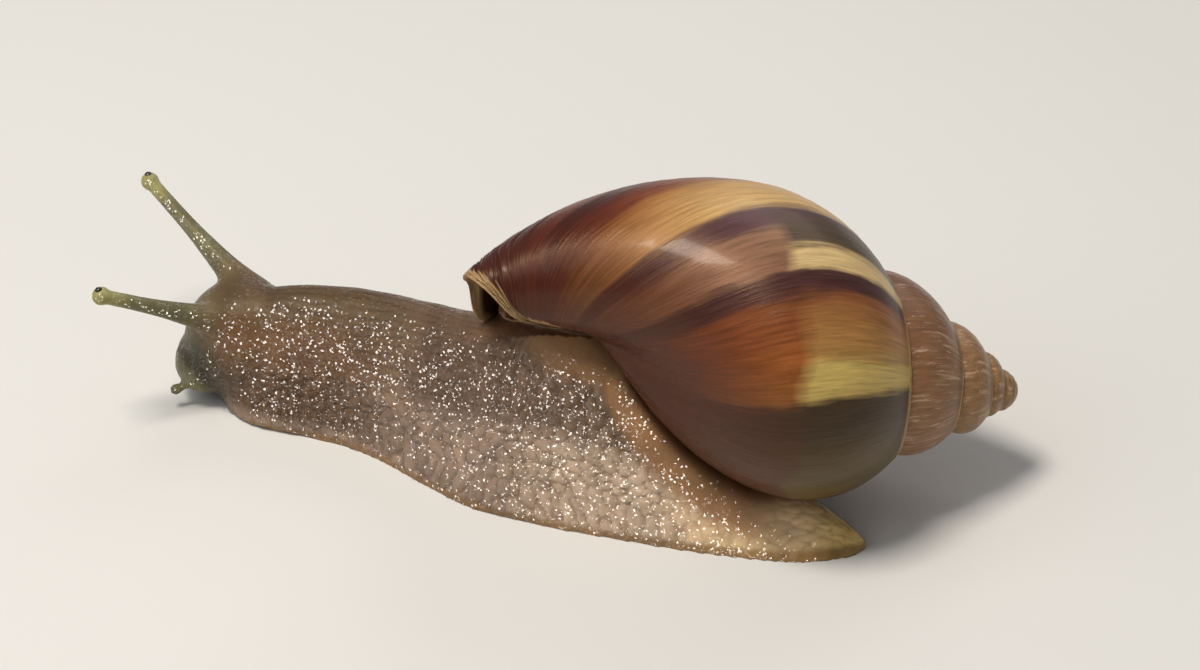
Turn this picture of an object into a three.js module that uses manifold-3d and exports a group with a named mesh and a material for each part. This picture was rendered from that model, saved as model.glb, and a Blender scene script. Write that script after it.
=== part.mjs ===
// Giant African land snail, crawling, life size, in millimetres.
// The head points to -X, the tail to +X, its left side is -Y and up is +Z; the sole lies on z = 0
// and the origin is the middle of the sole. The shell is a right-handed helico-spiral whose growth
// lines sweep round to the lip; the flesh is one lofted body with a rounded head, parted by thin cuts.
import * as THREE from 'three';
import { mergeVertices } from 'three/addons/utils/BufferGeometryUtils.js';
import Module from 'manifold-3d';

const wasm = await Module();
wasm.setup();

// ---- Driving dimensions ----------------------------------------------------------------------

const GAP = 0.3; // clear space between neighbouring pieces
const FAR = 80; // farther than any part of the animal

// Shell. n counts turns back from the lip, h is the distance from the apex along the shell's axis.
const SHELL_LENGTH = 65;
const SHELL_YAW = THREE.MathUtils.degToRad(25); // the apex points to the rear and right
const SHELL_RISE = THREE.MathUtils.degToRad(13.5); // the lip end stands higher than the apex
const APEX = new THREE.Vector3(49.6, 17.4, 12);
const LIP_ANGLE = THREE.MathUtils.degToRad(-50); // lip at the suture, measured up from the right
const WHORL_RADIUS = 0.3815 * SHELL_LENGTH;
const RADIUS_RATIO = 1.78; // shrink of the radius in one turn
const MOUTH_TIGHTENING = 0.16; // the last part of a turn draws in
const MOUTH_TIGHTENING_TURNS = 0.45;
const WIDEST_HEIGHT = 0.626 * SHELL_LENGTH; // h of the widest place at the lip
const WIDEST_RATIO = 1.95;
const SHOULDER_SPAN = 0.391 * SHELL_LENGTH; // from the widest place back to where a whorl closes
const SHOULDER_RATIO = 2;
const SHOULDER_TIGHTENING = 0.08; // share by which the youngest turn's shoulder draws in
const SPIRE_TURNS_OUT = [1.6, 3]; // from here back the older whorls swell out, fully by the second
const SPIRE_SWELLING = 0.12; // share by which they are wider
const SPIRE_SETBACK = 0.9; // and this much nearer the apex
const BASE_HEIGHT = 1.025 * SHELL_LENGTH; // h where the front end of the whorl closes
const BASE_RATIO = 1.9;
const BASE_HOLD_TURNS = 0.29; // the front end keeps level over this much of the last turn
const BASE_HOLD_SOFTNESS = 0.03;
const FRONT_POWER = 0.8; // power of the outline ahead of the widest place: 0.5 is an ellipse
const HOLLOW_POWER = 1.8; // added to it where the front draws in to the columella
const HOLLOW_TURN = 0.6; // turns behind the lip at the middle of that hollow
const HOLLOW_TURNS = 0.13; // half its length
const SWEEP_BACK = 0.16; // turns an older growth line falls back over the side of the whorl
const SWEEP_AT_BASE = 0.54; // and again where it turns in at the front end
const SWEEP_POWER = 16; // the higher, the nearer the front end it turns
const LIP_SWEEP_BACK = 0.02; // the same for the lip
const LIP_SWEEP_AT_BASE = 0.59;
const LIP_SWEEP_POWER = 22;
const WALL = 0.7;
const CORE_RADIUS = 0.2; // bore left round the axis, filled by the columella
const CALLUS = 0.4; // thin glaze laid over the older whorls inside the mouth
const BASE_INSET = 1.5; // an inner surface draws back from the base by this many times its inset
const COLUMELLA_RADIUS = 1;
const COLUMELLA_END = 0.82 * SHELL_LENGTH;
const PROTOCONCH_RADIUS = 2.5;
const SPIRE_TURNS = 4.4; // turns of whorl before the rounded first whorl
const YOUNG_TURNS = 0.4; // growth lines younger than this bend over from the lip's course
const CLEAR_LINE = -3; // number of a growth line standing clear ahead of the lip
const POCKET_LINE = 10; // the mouth is open as far back as this growth line
const MOUTH_ROWS_SHORT = 5; // rows left solid at the front tip of the shell

// Mantle collar, inside the mouth of the shell.
const MANTLE_FRONT_LINE = 1;
const MANTLE_BACK_LINE = 9;
const MANTLE_ROWS_SHORT = 7; // rows left empty under the front arch of the shell, over the neck

// Flesh. Each station: x, middle y, half-width of the sole, half-width of the back, height.
const BODY_STATIONS = [
  [-40, 2.0, 6.4, 5.0, 12.0], // front of the foot
  [-34, 2.9, 7.6, 6.2, 16.0],
  [-27, 3.9, 7.8, 7.0, 16.5], // neck
  [-20, 3.6, 8.5, 7.3, 17.0],
  [-13, 2.0, 9.4, 7.7, 18.1],
  [-6, 0.6, 10.2, 8.0, 19.8], // under the lip
  [2, 0.4, 10.2, 8.0, 22.5], // rising into the mouth of the shell
  [12, 0.6, 9.7, 7.6, 17.0],
  [21, 0.2, 8.4, 5.9, 8.4],
  [30, -0.4, 6.2, 3.6, 4.8], // tail
  [38, -0.9, 3.6, 1.5, 2.4],
];
const FOOT_FRONT = { end: -42.6, start: -35, power: 2.2 };
const FOOT_REAR = { end: 38.5, start: 30, power: 2.4 };
const FOOT_FLARE_POWER = 3;
const BACK_ROUNDNESS = 0.85;
const FOOT_THICKNESS = 4.5; // the foot is the part of the body below this level
const HEAD_BACK_X = -32;
const NECK_BACK_X = -11;
const TAIL_X = 19;

// Head, in its own directions: forward (turned a little to the left), right and up.
const HEAD_CENTRE = new THREE.Vector3(-39.4, 2.2, 7.9);
const HEAD_YAW = THREE.MathUtils.degToRad(10);
const HEAD_RADII = [7.4, 6.2, 7.6];
const MUZZLE_OFFSET = [4.6, 0, -3.2];
const MUZZLE_RADII = [4.2, 5.3, 4.2];
const LIPS_CUT = 5.9; // the lips are the muzzle ahead of this distance from the head's centre

// Tentacles: base and tip positions, radii of the stalk, of its flared root and of the bulb.
const UPPER_TENTACLES = {
  left: { root: [-39.6, -0.4, 11.6], tip: [-51.2, -9.7, 19.0] },
  right: { root: [-39.4, 5.0, 11.8], tip: [-55.6, 11.5, 20.8] },
};
const UPPER_TENTACLE = { stalk: 0.82, flare: 2.1, power: 3, bulb: 1.1, split: 0.52 };
const LOWER_TENTACLE = { stalk: 0.45, flare: 0.6, power: 3, bulb: 0.65 };
const LOWER_TENTACLE_ROOT = [3.4, 3.4, -3.3]; // forward, outward and up from the head's centre
const LOWER_TENTACLE_TIP = [7.7, 4.8, -5.2];
const BULB_SEAT = 0.75; // the stalk ends this share of the bulb's radius short of its centre
const EYE_RADIUS = 0.5;
const EYE_SUNK = 0.7; // share of the eye's radius below the skin of the bulb
const EYE_LOOK = { along: 0.35, up: 0.95 }; // the way the eye faces, along the stalk and upwards

// Facets.
const SIDES_PER_TURN = 24;
const LIP_TURNS = 0.1; // turns behind the lip over which the growth lines stand closer together
const YOUNG_LINES = 10; // number of those lines
const LINES_PER_PIECE = 11;
const WHORL_ROWS = 17;
const BODY_ROWS = 34;
const BODY_COLUMNS = 12;
const END_CROWDING = 0.35; // share by which the body's rows crowd together at its ends
const ROUND_SIDES = 10;
const STALK_RINGS = 10;
const BULB_RINGS = 5;

// ---- Solids ----------------------------------------------------------------------------------

// A closed three.js geometry as a solid: shared vertices merged, empty triangles dropped, faces out.
function toSolid(geometry) {
  geometry.deleteAttribute('normal');
  geometry.deleteAttribute('uv');
  const merged = mergeVertices(geometry, 1e-5);
  const vertices = merged.attributes.position.array;
  const index = merged.index.array;
  const point = (i) => new THREE.Vector3().fromArray(vertices, 3 * i);
  let triangles = [];
  let volume = 0;
  for (let t = 0; t < index.length; t += 3) {
    const [a, b, c] = index.slice(t, t + 3);
    if (a === b || b === c || c === a) continue;
    triangles.push(a, b, c);
    volume += point(a).dot(point(b).cross(point(c)));
  }
  if (volume < 0) triangles = triangles.reverse();
  const vertProperties = new Float32Array(vertices);
  const triVerts = new Uint32Array(triangles);
  return new wasm.Manifold(new wasm.Mesh({ numProp: 3, vertProperties, triVerts }));
}

// The solid between two sheets of points with the same rows and columns, closed along all four edges.
// Each four-sided patch is split along its shorter diagonal.
function solidBetween(top, bottom) {
  const positions = [];
  const quad = (a, b, c, d) => {
    const corners = a.distanceTo(c) <= b.distanceTo(d) ? [a, b, c, a, c, d] : [a, b, d, b, c, d];
    for (const p of corners) positions.push(p.x, p.y, p.z);
  };
  const rows = top.length - 1;
  const columns = top[0].length - 1;
  for (let i = 0; i < rows; i++) {
    for (let j = 0; j < columns; j++) {
      quad(top[i][j], top[i + 1][j], top[i + 1][j + 1], top[i][j + 1]);
      quad(bottom[i][j], bottom[i][j + 1], bottom[i + 1][j + 1], bottom[i + 1][j]);
    }
    quad(top[i][0], bottom[i][0], bottom[i + 1][0], top[i + 1][0]);
    quad(top[i][columns], top[i + 1][columns], bottom[i + 1][columns], bottom[i][columns]);
  }
  for (let j = 0; j < columns; j++) {
    quad(top[0][j], top[0][j + 1], bottom[0][j + 1], bottom[0][j]);
    quad(top[rows][j], bottom[rows][j], bottom[rows][j + 1], top[rows][j + 1]);
  }
  const geometry = new THREE.BufferGeometry();
  geometry.setAttribute('position', new THREE.Float32BufferAttribute(positions, 3));
  return toSolid(geometry);
}

const union = (solids) => solids.reduce((all, next) => all.add(next));
const largest = (solid) => solid.decompose().reduce((a, b) => (a.volume() > b.volume() ? a : b));

// The part of space between two values of x and below or above a level, as a box.
function box(x0, x1, z0, z1) {
  const geometry = new THREE.BoxGeometry(x1 - x0, FAR, z1 - z0);
  geometry.translate((x0 + x1) / 2, 0, (z0 + z1) / 2);
  return toSolid(geometry);
}
function node(name, solid, material) {
  const { vertProperties, triVerts, numProp } = largest(solid).getMesh();
  const positions = new Float32Array((vertProperties.length / numProp) * 3);
  for (let i = 0; i * numProp < vertProperties.length; i++) {
    positions.set(vertProperties.subarray(i * numProp, i * numProp + 3), 3 * i);
  }
  const geometry = new THREE.BufferGeometry();
  geometry.setAttribute('position', new THREE.BufferAttribute(positions, 3));
  geometry.setIndex(new THREE.BufferAttribute(new Uint32Array(triVerts), 1));
  geometry.computeVertexNormals();
  const mesh = new THREE.Mesh(geometry, material);
  mesh.name = name;
  return mesh;
}

const flesh = () => new THREE.MeshStandardMaterial({ color: 0x8c6d50, roughness: 0.35, metalness: 0 });
const bulbFlesh = () => new THREE.MeshStandardMaterial({ color: 0x9c8e62, roughness: 0.3, metalness: 0 });
const mantleFlesh = () => new THREE.MeshStandardMaterial({ color: 0xb08a5c, roughness: 0.35, metalness: 0 });
const eyeBlack = () => new THREE.MeshStandardMaterial({ color: 0x15120f, roughness: 0.1, metalness: 0 });
const shellHorn = () => new THREE.MeshStandardMaterial({ color: 0x6e3522, roughness: 0.3, metalness: 0 });

// ---- Shell -----------------------------------------------------------------------------------

const { lerp, smoothstep, clamp } = THREE.MathUtils;

const spire = (n) => smoothstep(n, ...SPIRE_TURNS_OUT);
const whorlRadius = (n) => {
  const tightening = 1 - MOUTH_TIGHTENING * Math.exp(-n / MOUTH_TIGHTENING_TURNS);
  return WHORL_RADIUS * RADIUS_RATIO ** -n * tightening * (1 + SPIRE_SWELLING * spire(n));
};
const widest = (n) => WIDEST_HEIGHT * WIDEST_RATIO ** -n - SPIRE_SETBACK * spire(n);
const shoulderSpan = (n) => (
  SHOULDER_SPAN * SHOULDER_RATIO ** -n * (1 - SHOULDER_TIGHTENING * Math.exp(-(n ** 2)))
);
const frontPower = (n) => (
  FRONT_POWER + HOLLOW_POWER * Math.exp(-(((n - HOLLOW_TURN) / HOLLOW_TURNS) ** 2))
);
const baseHeight = (n) => {
  const pastHold = (n - BASE_HOLD_TURNS) / BASE_HOLD_SOFTNESS;
  return BASE_HEIGHT * BASE_RATIO ** (-BASE_HOLD_SOFTNESS * Math.log1p(Math.exp(pastHold)));
};

// Distance of whorl n from the axis at h: a quarter ellipse behind the widest place, drawn out ahead
// and hollowed where it turns in to the columella.
function whorlOutline(n, h) {
  if (h < widest(n)) {
    const back = Math.min((widest(n) - h) / shoulderSpan(n), 1);
    return whorlRadius(n) * Math.sqrt(1 - back ** 2);
  }
  const ahead = Math.min((h - widest(n)) / (baseHeight(n) - widest(n)), 1);
  return whorlRadius(n) * (1 - ahead ** 2) ** frontPower(n);
}

// h where whorl n comes out from under the next older one, found by halving.
function suture(n) {
  let low = widest(n) - shoulderSpan(n);
  let high = widest(n);
  for (let k = 0; k < 30; k++) {
    const middle = (low + high) / 2;
    if (whorlOutline(n, middle) < whorlOutline(n + 1, middle)) low = middle;
    else high = middle;
  }
  return low;
}

// How far a growth line has swept back, in turns, at w = 0 on the suture to w = 1 at the base.
// Young lines near the lip run straight along the right side and turn in only at the front.
function sweep(w, g) {
  const oldLine = SWEEP_BACK * w ** 2 + SWEEP_AT_BASE * w ** SWEEP_POWER;
  const lipLine = LIP_SWEEP_BACK * w ** 2 + LIP_SWEEP_AT_BASE * w ** LIP_SWEEP_POWER;
  const youth = Math.exp(-(((2 * Math.max(g, 0)) / YOUNG_TURNS) ** 2));
  return lerp(oldLine, lipLine, youth);
}

const ahead = new THREE.Vector3(
  -Math.cos(SHELL_RISE) * Math.cos(SHELL_YAW),
  -Math.cos(SHELL_RISE) * Math.sin(SHELL_YAW),
  Math.sin(SHELL_RISE),
);
const above = new THREE.Vector3(0, 0, 1).addScaledVector(ahead, -ahead.z).normalize();
const rightward = ahead.clone().cross(above);

function shellPoint(n, h, radius) {
  const angle = LIP_ANGLE + 2 * Math.PI * n;
  return APEX.clone()
    .addScaledVector(ahead, h)
    .addScaledVector(rightward, radius * Math.cos(angle))
    .addScaledVector(above, radius * Math.sin(angle));
}

// The growth lines are numbered back from the lip, closer together where they bend over behind it.
function growthLine(k) {
  if (k <= YOUNG_LINES) return (k * LIP_TURNS) / YOUNG_LINES;
  return LIP_TURNS + (k - YOUNG_LINES) / SIDES_PER_TURN;
}
const lineAtTurn = (turn) => YOUNG_LINES + Math.floor((turn - LIP_TURNS) * SIDES_PER_TURN);

// The piece of whorl from one growth line to another, from the surface (moved in by inset) to the
// axis, and from the suture over the given number of rows, which crowd together towards the base.
function whorlPiece(first, last, inset = 0, swept = 1, rows = WHORL_ROWS) {
  const surface = [];
  const core = [];
  for (let k = first; k <= last; k++) {
    const g = growthLine(k);
    const surfaceRow = [];
    const coreRow = [];
    for (let j = 0; j <= rows; j++) {
      const w = 1 - (1 - j / WHORL_ROWS) ** 2;
      const n = g + swept * sweep(w, g);
      const start = suture(n) + Math.max(inset, 0);
      const h = start + w * (baseHeight(n) - BASE_INSET * inset - start);
      surfaceRow.push(shellPoint(n, h, Math.max(whorlOutline(n, h) - inset, 2 * CORE_RADIUS)));
      coreRow.push(shellPoint(n, h, CORE_RADIUS));
    }
    surface.push(surfaceRow);
    core.push(coreRow);
  }
  return solidBetween(surface, core);
}

// Whorls joined from pieces of less than one turn, which meet on shared growth lines.
function whorls(first, last, inset = 0, swept = 1) {
  const pieces = [];
  for (let k = first; k < last; k += LINES_PER_PIECE) {
    pieces.push(whorlPiece(k, Math.min(k + LINES_PER_PIECE, last), inset, swept));
  }
  return union(pieces);
}

// A rod about the shell's axis, from h0 to h1.
function axisRod(radius, h0, h1) {
  const geometry = new THREE.CylinderGeometry(radius, radius, h1 - h0, ROUND_SIDES);
  geometry.applyQuaternion(new THREE.Quaternion().setFromUnitVectors(new THREE.Vector3(0, 1, 0), ahead));
  const middle = APEX.clone().addScaledVector(ahead, (h0 + h1) / 2);
  return toSolid(geometry.translate(middle.x, middle.y, middle.z));
}

function protoconch(extra = 0) {
  const geometry = new THREE.SphereGeometry(PROTOCONCH_RADIUS + extra, ROUND_SIDES, ROUND_SIDES / 2);
  const middle = APEX.clone().addScaledVector(ahead, PROTOCONCH_RADIUS - SPIRE_SETBACK);
  return toSolid(geometry.translate(middle.x, middle.y, middle.z));
}

const columella = (extra) => axisRod(COLUMELLA_RADIUS + extra, PROTOCONCH_RADIUS, COLUMELLA_END + extra);

const wholeShell = (inset) => union([
  whorls(0, lineAtTurn(SPIRE_TURNS), inset),
  protoconch(-inset),
  columella(-inset),
  axisRod(3 * CORE_RADIUS, PROTOCONCH_RADIUS, 0.95 * BASE_HEIGHT),
]);
// The one and a half turns next inside the last whorl, which the mouth opens onto.
const olderWhorls = (inset) => union([
  whorls(lineAtTurn(1), lineAtTurn(2.4), inset, 0),
  columella(-inset),
]);

function shell() {
  const mouth = whorlPiece(CLEAR_LINE, POCKET_LINE, WALL, 1, WHORL_ROWS - MOUTH_ROWS_SHORT)
    .add(axisRod(4 * CORE_RADIUS, COLUMELLA_END, BASE_HEIGHT))
    .subtract(olderWhorls(-CALLUS));
  return node('shell', wholeShell(0).subtract(mouth), shellHorn());
}

// The mantle collar closes the mouth between the outer wall and the older whorls.
function mantle() {
  const rows = WHORL_ROWS - MANTLE_ROWS_SHORT;
  const filling = whorlPiece(MANTLE_FRONT_LINE, MANTLE_BACK_LINE, WALL + GAP, 1, rows);
  return node('mantle', filling.subtract(olderWhorls(-CALLUS - GAP)), mantleFlesh());
}

// ---- Body ------------------------------------------------------------------------------------

// Smooth curve through the stations, with slopes weighted by the spacing of the neighbours.
function station(x) {
  const last = BODY_STATIONS.length - 1;
  const at = Math.min(Math.max(x, BODY_STATIONS[0][0]), BODY_STATIONS[last][0]);
  let i = BODY_STATIONS.findIndex((row) => row[0] >= at) - 1;
  i = Math.max(i, 0);
  const slope = (k, c) => {
    const rise = (a) => {
      const [from, to] = [BODY_STATIONS[a], BODY_STATIONS[a + 1]];
      return (to[c] - from[c]) / (to[0] - from[0]);
    };
    if (k === 0) return rise(0);
    if (k === last) return rise(last - 1);
    const before = BODY_STATIONS[k][0] - BODY_STATIONS[k - 1][0];
    const after = BODY_STATIONS[k + 1][0] - BODY_STATIONS[k][0];
    return (rise(k - 1) * after + rise(k) * before) / (before + after);
  };
  const width = BODY_STATIONS[i + 1][0] - BODY_STATIONS[i][0];
  const t = (at - BODY_STATIONS[i][0]) / width;
  return [1, 2, 3, 4].map((c) => (
    (2 * t ** 3 - 3 * t ** 2 + 1) * BODY_STATIONS[i][c]
    + (t ** 3 - 2 * t ** 2 + t) * width * slope(i, c)
    + (3 * t ** 2 - 2 * t ** 3) * BODY_STATIONS[i + 1][c]
    + (t ** 3 - t ** 2) * width * slope(i + 1, c)
  ));
}

// Foot, neck and back in one: a rounded back over a flared flat sole, rounded in plan at both ends.
function body(extra = 0) {
  const ends = [FOOT_FRONT.end - extra, FOOT_REAR.end + extra];
  const back = [];
  const sole = [];
  for (let i = 0; i <= BODY_ROWS; i++) {
    const eased = (1 - Math.cos((Math.PI * i) / BODY_ROWS)) / 2;
    const along = lerp(i / BODY_ROWS, eased, END_CROWDING);
    const x = lerp(ends[0], ends[1], along);
    const [middle, soleHalf, backHalf, height] = station(x);
    const taper = (end, start, power) => {
      const t = clamp((x - start) / (end - start), 0, 1);
      return Math.sqrt(Math.max(1 - t ** power, 0));
    };
    const frontRound = taper(ends[0], FOOT_FRONT.start, FOOT_FRONT.power);
    const round = frontRound * taper(ends[1], FOOT_REAR.start, FOOT_REAR.power);
    back.push([]);
    sole.push([]);
    for (let j = 0; j <= BODY_COLUMNS; j++) {
      const angle = (Math.PI * j) / BODY_COLUMNS;
      const flare = (soleHalf - backHalf) * (1 - Math.sin(angle)) ** FOOT_FLARE_POWER;
      const y = middle - ((backHalf + flare) * round + extra) * Math.cos(angle);
      const z = (height * Math.sqrt(round) + extra) * Math.max(Math.sin(angle), 0) ** BACK_ROUNDNESS;
      back[i].push(new THREE.Vector3(x, y, z));
      sole[i].push(new THREE.Vector3(x, y, 0));
    }
  }
  return solidBetween(back, sole);
}

// ---- Head ------------------------------------------------------------------------------------

const headForward = new THREE.Vector3(-Math.cos(HEAD_YAW), -Math.sin(HEAD_YAW), 0);
const headRight = new THREE.Vector3(-Math.sin(HEAD_YAW), Math.cos(HEAD_YAW), 0);
const headUp = new THREE.Vector3(0, 0, 1);
const headFrame = new THREE.Matrix4().makeBasis(headForward, headRight, headUp).setPosition(HEAD_CENTRE);

function headRound(radii, offset = [0, 0, 0], extra = 0) {
  const geometry = new THREE.SphereGeometry(1, 2 * ROUND_SIDES, ROUND_SIDES);
  geometry.rotateX(Math.PI / 2);
  geometry.scale(radii[0] + extra, radii[1] + extra, radii[2] + extra);
  geometry.translate(...offset);
  return toSolid(geometry.applyMatrix4(headFrame));
}

function headLump(extra = 0) {
  const muzzle = headRound(MUZZLE_RADII, MUZZLE_OFFSET, extra);
  return headRound(HEAD_RADII, [0, 0, 0], extra).add(muzzle);
}

// Half-space ahead of a plane across the head, at a distance from the head's centre.
function aheadOfHead(distance) {
  const geometry = new THREE.BoxGeometry(FAR, FAR, FAR);
  geometry.translate(distance + FAR / 2, 0, 0);
  return toSolid(geometry.applyMatrix4(headFrame));
}

// ---- Tentacles and eyes ----------------------------------------------------------------------

// A stalk that flares at its root and ends in a round bulb, turned about the line from root to tip.
function tentacle(root, tip, { stalk, flare, power, bulb }) {
  const length = root.distanceTo(tip);
  const profile = [new THREE.Vector2(0, 0)];
  const stalkEnd = length - bulb * BULB_SEAT;
  for (let k = 0; k <= STALK_RINGS; k++) {
    const t = k / STALK_RINGS;
    profile.push(new THREE.Vector2(stalk + flare * (1 - t) ** power, stalkEnd * t));
  }
  for (let k = 1; k < BULB_RINGS; k++) {
    const angle = lerp(-0.2 * Math.PI, 0.5 * Math.PI, k / BULB_RINGS);
    profile.push(new THREE.Vector2(bulb * Math.cos(angle), length + bulb * Math.sin(angle)));
  }
  profile.push(new THREE.Vector2(0, length + bulb));
  const geometry = new THREE.LatheGeometry(profile, ROUND_SIDES);
  const direction = tip.clone().sub(root).normalize();
  geometry.applyQuaternion(new THREE.Quaternion().setFromUnitVectors(new THREE.Vector3(0, 1, 0), direction));
  return toSolid(geometry.translate(root.x, root.y, root.z));
}

// A slab of GAP thickness across the line from root to tip, at a share of its length.
function slabAcross(root, tip, share) {
  const reach = 2 * UPPER_TENTACLE.flare;
  const geometry = new THREE.CylinderGeometry(reach, reach, GAP, ROUND_SIDES);
  const direction = tip.clone().sub(root).normalize();
  geometry.applyQuaternion(new THREE.Quaternion().setFromUnitVectors(new THREE.Vector3(0, 1, 0), direction));
  const middle = root.clone().lerp(tip, share);
  return toSolid(geometry.translate(middle.x, middle.y, middle.z));
}

function ball(radius, centre) {
  const geometry = new THREE.SphereGeometry(radius, ROUND_SIDES, ROUND_SIDES / 2);
  return toSolid(geometry.translate(centre.x, centre.y, centre.z));
}

// The eye looks up and forward from the front of the bulb.
function eyeCentre(root, tip) {
  const look = tip.clone().sub(root).setLength(EYE_LOOK.along).add(new THREE.Vector3(0, 0, EYE_LOOK.up));
  return tip.clone().addScaledVector(look.normalize(), UPPER_TENTACLE.bulb - EYE_SUNK * EYE_RADIUS);
}

// ---- Parting the animal into its nodes ------------------------------------------------------

const clearOfShell = wholeShell(-GAP);
const wholeBody = body();
const foot = wholeBody.intersect(box(FOOT_FRONT.end - 1, TAIL_X - GAP / 2, -1, FOOT_THICKNESS));
const clearOfFoot = body(GAP).intersect(box(-FAR, FAR, -1, FOOT_THICKNESS + GAP));
const upperBody = wholeBody.intersect(box(-FAR, FAR, FOOT_THICKNESS + GAP, FAR)).subtract(clearOfShell);

const fleshPieces = {
  foot: foot.subtract(clearOfShell),
  tail: wholeBody.intersect(box(TAIL_X + GAP / 2, FAR, -1, FAR)).subtract(clearOfShell),
  back: upperBody.intersect(box(NECK_BACK_X + GAP / 2, TAIL_X - GAP / 2, 0, FAR)),
  neck: upperBody.intersect(box(HEAD_BACK_X + GAP / 2, NECK_BACK_X - GAP / 2, 0, FAR)),
};
const aheadOfNeck = box(-FAR, HEAD_BACK_X - GAP / 2, -1, FAR);
const wholeHead = headLump().add(upperBody).intersect(aheadOfNeck).subtract(clearOfFoot);
const clearOfHead = headLump(GAP).add(body(GAP));

const parts = [];
parts.push(shell(), mantle());
for (const [name, solid] of Object.entries(fleshPieces)) parts.push(node(name, solid, flesh()));

parts.push(node('head', wholeHead.subtract(aheadOfHead(LIPS_CUT - GAP)), flesh()));
parts.push(node('lips', wholeHead.intersect(aheadOfHead(LIPS_CUT)), flesh()));

for (const [side, ends] of Object.entries(UPPER_TENTACLES)) {
  const root = new THREE.Vector3(...ends.root);
  const tip = new THREE.Vector3(...ends.tip);
  const eye = eyeCentre(root, tip);
  const eyeSeat = ball(EYE_RADIUS + GAP / 2, eye);
  const free = tentacle(root, tip, UPPER_TENTACLE).subtract(clearOfHead).subtract(eyeSeat);
  const halves = free.subtract(slabAcross(root, tip, UPPER_TENTACLE.split)).decompose();
  halves.sort((a, b) => b.volume() - a.volume());
  parts.push(node(`upper_tentacle_${side}_base`, halves[0], flesh()));
  parts.push(node(`upper_tentacle_${side}_tip`, halves[1], bulbFlesh()));
  parts.push(node(`eye_${side}`, ball(EYE_RADIUS, eye), eyeBlack()));
}

for (const [side, sign] of [['left', -1], ['right', 1]]) {
  const place = ([forward, outward, up]) => (
    new THREE.Vector3(forward, sign * outward, up).applyMatrix4(headFrame)
  );
  const solid = tentacle(place(LOWER_TENTACLE_ROOT), place(LOWER_TENTACLE_TIP), LOWER_TENTACLE);
  parts.push(node(`lower_tentacle_${side}`, solid.subtract(clearOfHead), flesh()));
}

const snail = new THREE.Group();
snail.add(...parts);

export default snail;
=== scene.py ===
import math

import bpy
import numpy as np
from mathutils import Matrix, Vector


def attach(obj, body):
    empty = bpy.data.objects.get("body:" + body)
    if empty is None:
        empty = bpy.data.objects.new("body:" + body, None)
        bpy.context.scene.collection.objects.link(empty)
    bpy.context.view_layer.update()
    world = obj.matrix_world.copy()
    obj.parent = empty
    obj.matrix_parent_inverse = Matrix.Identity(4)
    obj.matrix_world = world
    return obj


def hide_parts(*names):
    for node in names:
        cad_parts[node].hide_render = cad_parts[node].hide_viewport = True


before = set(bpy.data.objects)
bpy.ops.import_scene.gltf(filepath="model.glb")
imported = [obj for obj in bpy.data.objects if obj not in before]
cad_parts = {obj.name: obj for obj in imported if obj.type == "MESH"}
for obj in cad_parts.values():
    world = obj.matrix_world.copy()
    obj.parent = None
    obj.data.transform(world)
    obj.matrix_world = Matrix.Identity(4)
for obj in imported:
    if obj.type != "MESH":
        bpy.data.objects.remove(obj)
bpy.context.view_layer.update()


# ---- Camera and studio ------------------------------------------------------------------------
# The snail crawls to the left of the frame, seen from its left side and well above. It rests on a
# plain pale floor in a pale room, under a small bright lamp that makes the wet skin glint, a broad
# soft one, and a weak one from behind.

MM = 0.001  # shapes are worked out in millimetres and put into the meshes in metres
CAMERA_TURN = math.radians(20)  # towards the tail
CAMERA_TILT = math.radians(36)
CAMERA_AWAY = 330 * MM
FRAME_WIDTH = 135.24 * MM  # what the frame spans at the point aimed at
AIM = Vector((5.534, 2.198, 19.42)) * MM


def linear(hex_colour, alpha=1.0):
    """An sRGB hex colour as a linear RGBA value."""
    levels = [int(hex_colour[i:i + 2], 16) / 255 for i in (1, 3, 5)]
    return (*[c / 12.92 if c <= 0.04045 else ((c + 0.055) / 1.055) ** 2.4 for c in levels], alpha)


def add(tree, kind, inputs=None, stops=None, **settings):
    """Adds a node. inputs holds values for its sockets, or the sockets that feed them; stops are a
    colour ramp's (place, sRGB hex) pairs."""
    made = tree.nodes.new(kind)
    for name, value in settings.items():
        setattr(made, name, value)
    for name, value in (inputs or {}).items():
        if isinstance(value, bpy.types.NodeSocket):
            tree.links.new(value, made.inputs[name])
        else:
            made.inputs[name].default_value = value
    if stops:
        ramp = made.color_ramp.elements
        while len(ramp) < len(stops):
            ramp.new(1.0)
        for element, (place, hex_colour) in zip(ramp, stops):
            element.position = place
            element.color = linear(hex_colour)
    return made


def new_material(name):
    """A material with an empty node tree."""
    made = bpy.data.materials.new(name)
    made.use_nodes = True
    made.node_tree.nodes.clear()
    return made, made.node_tree


def away_from(turn, tilt):
    """Unit vector from the animal towards a place round it: turn 0 is its left, 90 degrees its
    tail, and tilt is the height above the floor."""
    level = math.cos(tilt)
    return Vector((math.sin(turn) * level, -math.cos(turn) * level, math.sin(tilt)))


lens = bpy.data.cameras.new("camera")
lens.sensor_width = 36
lens.lens = 36 * CAMERA_AWAY / FRAME_WIDTH
lens.clip_start = 0.01
lens.clip_end = 20
camera = bpy.data.objects.new("camera", lens)
bpy.context.scene.collection.objects.link(camera)
camera.location = AIM + away_from(CAMERA_TURN, CAMERA_TILT) * CAMERA_AWAY
camera.rotation_euler = away_from(CAMERA_TURN, CAMERA_TILT).to_track_quat("Z", "Y").to_euler()
bpy.context.scene.camera = camera


def softbox(name, turn, tilt, distance, size, power, hex_colour):
    """A square lamp that faces the animal."""
    data = bpy.data.lights.new(name, "AREA")
    data.size = size
    data.energy = power
    data.color = linear(hex_colour)[:3]
    lamp = bpy.data.objects.new(name, data)
    towards = away_from(math.radians(turn), math.radians(tilt))
    lamp.location = AIM + towards * distance
    lamp.rotation_euler = towards.to_track_quat("Z", "Y").to_euler()
    bpy.context.scene.collection.objects.link(lamp)


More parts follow.
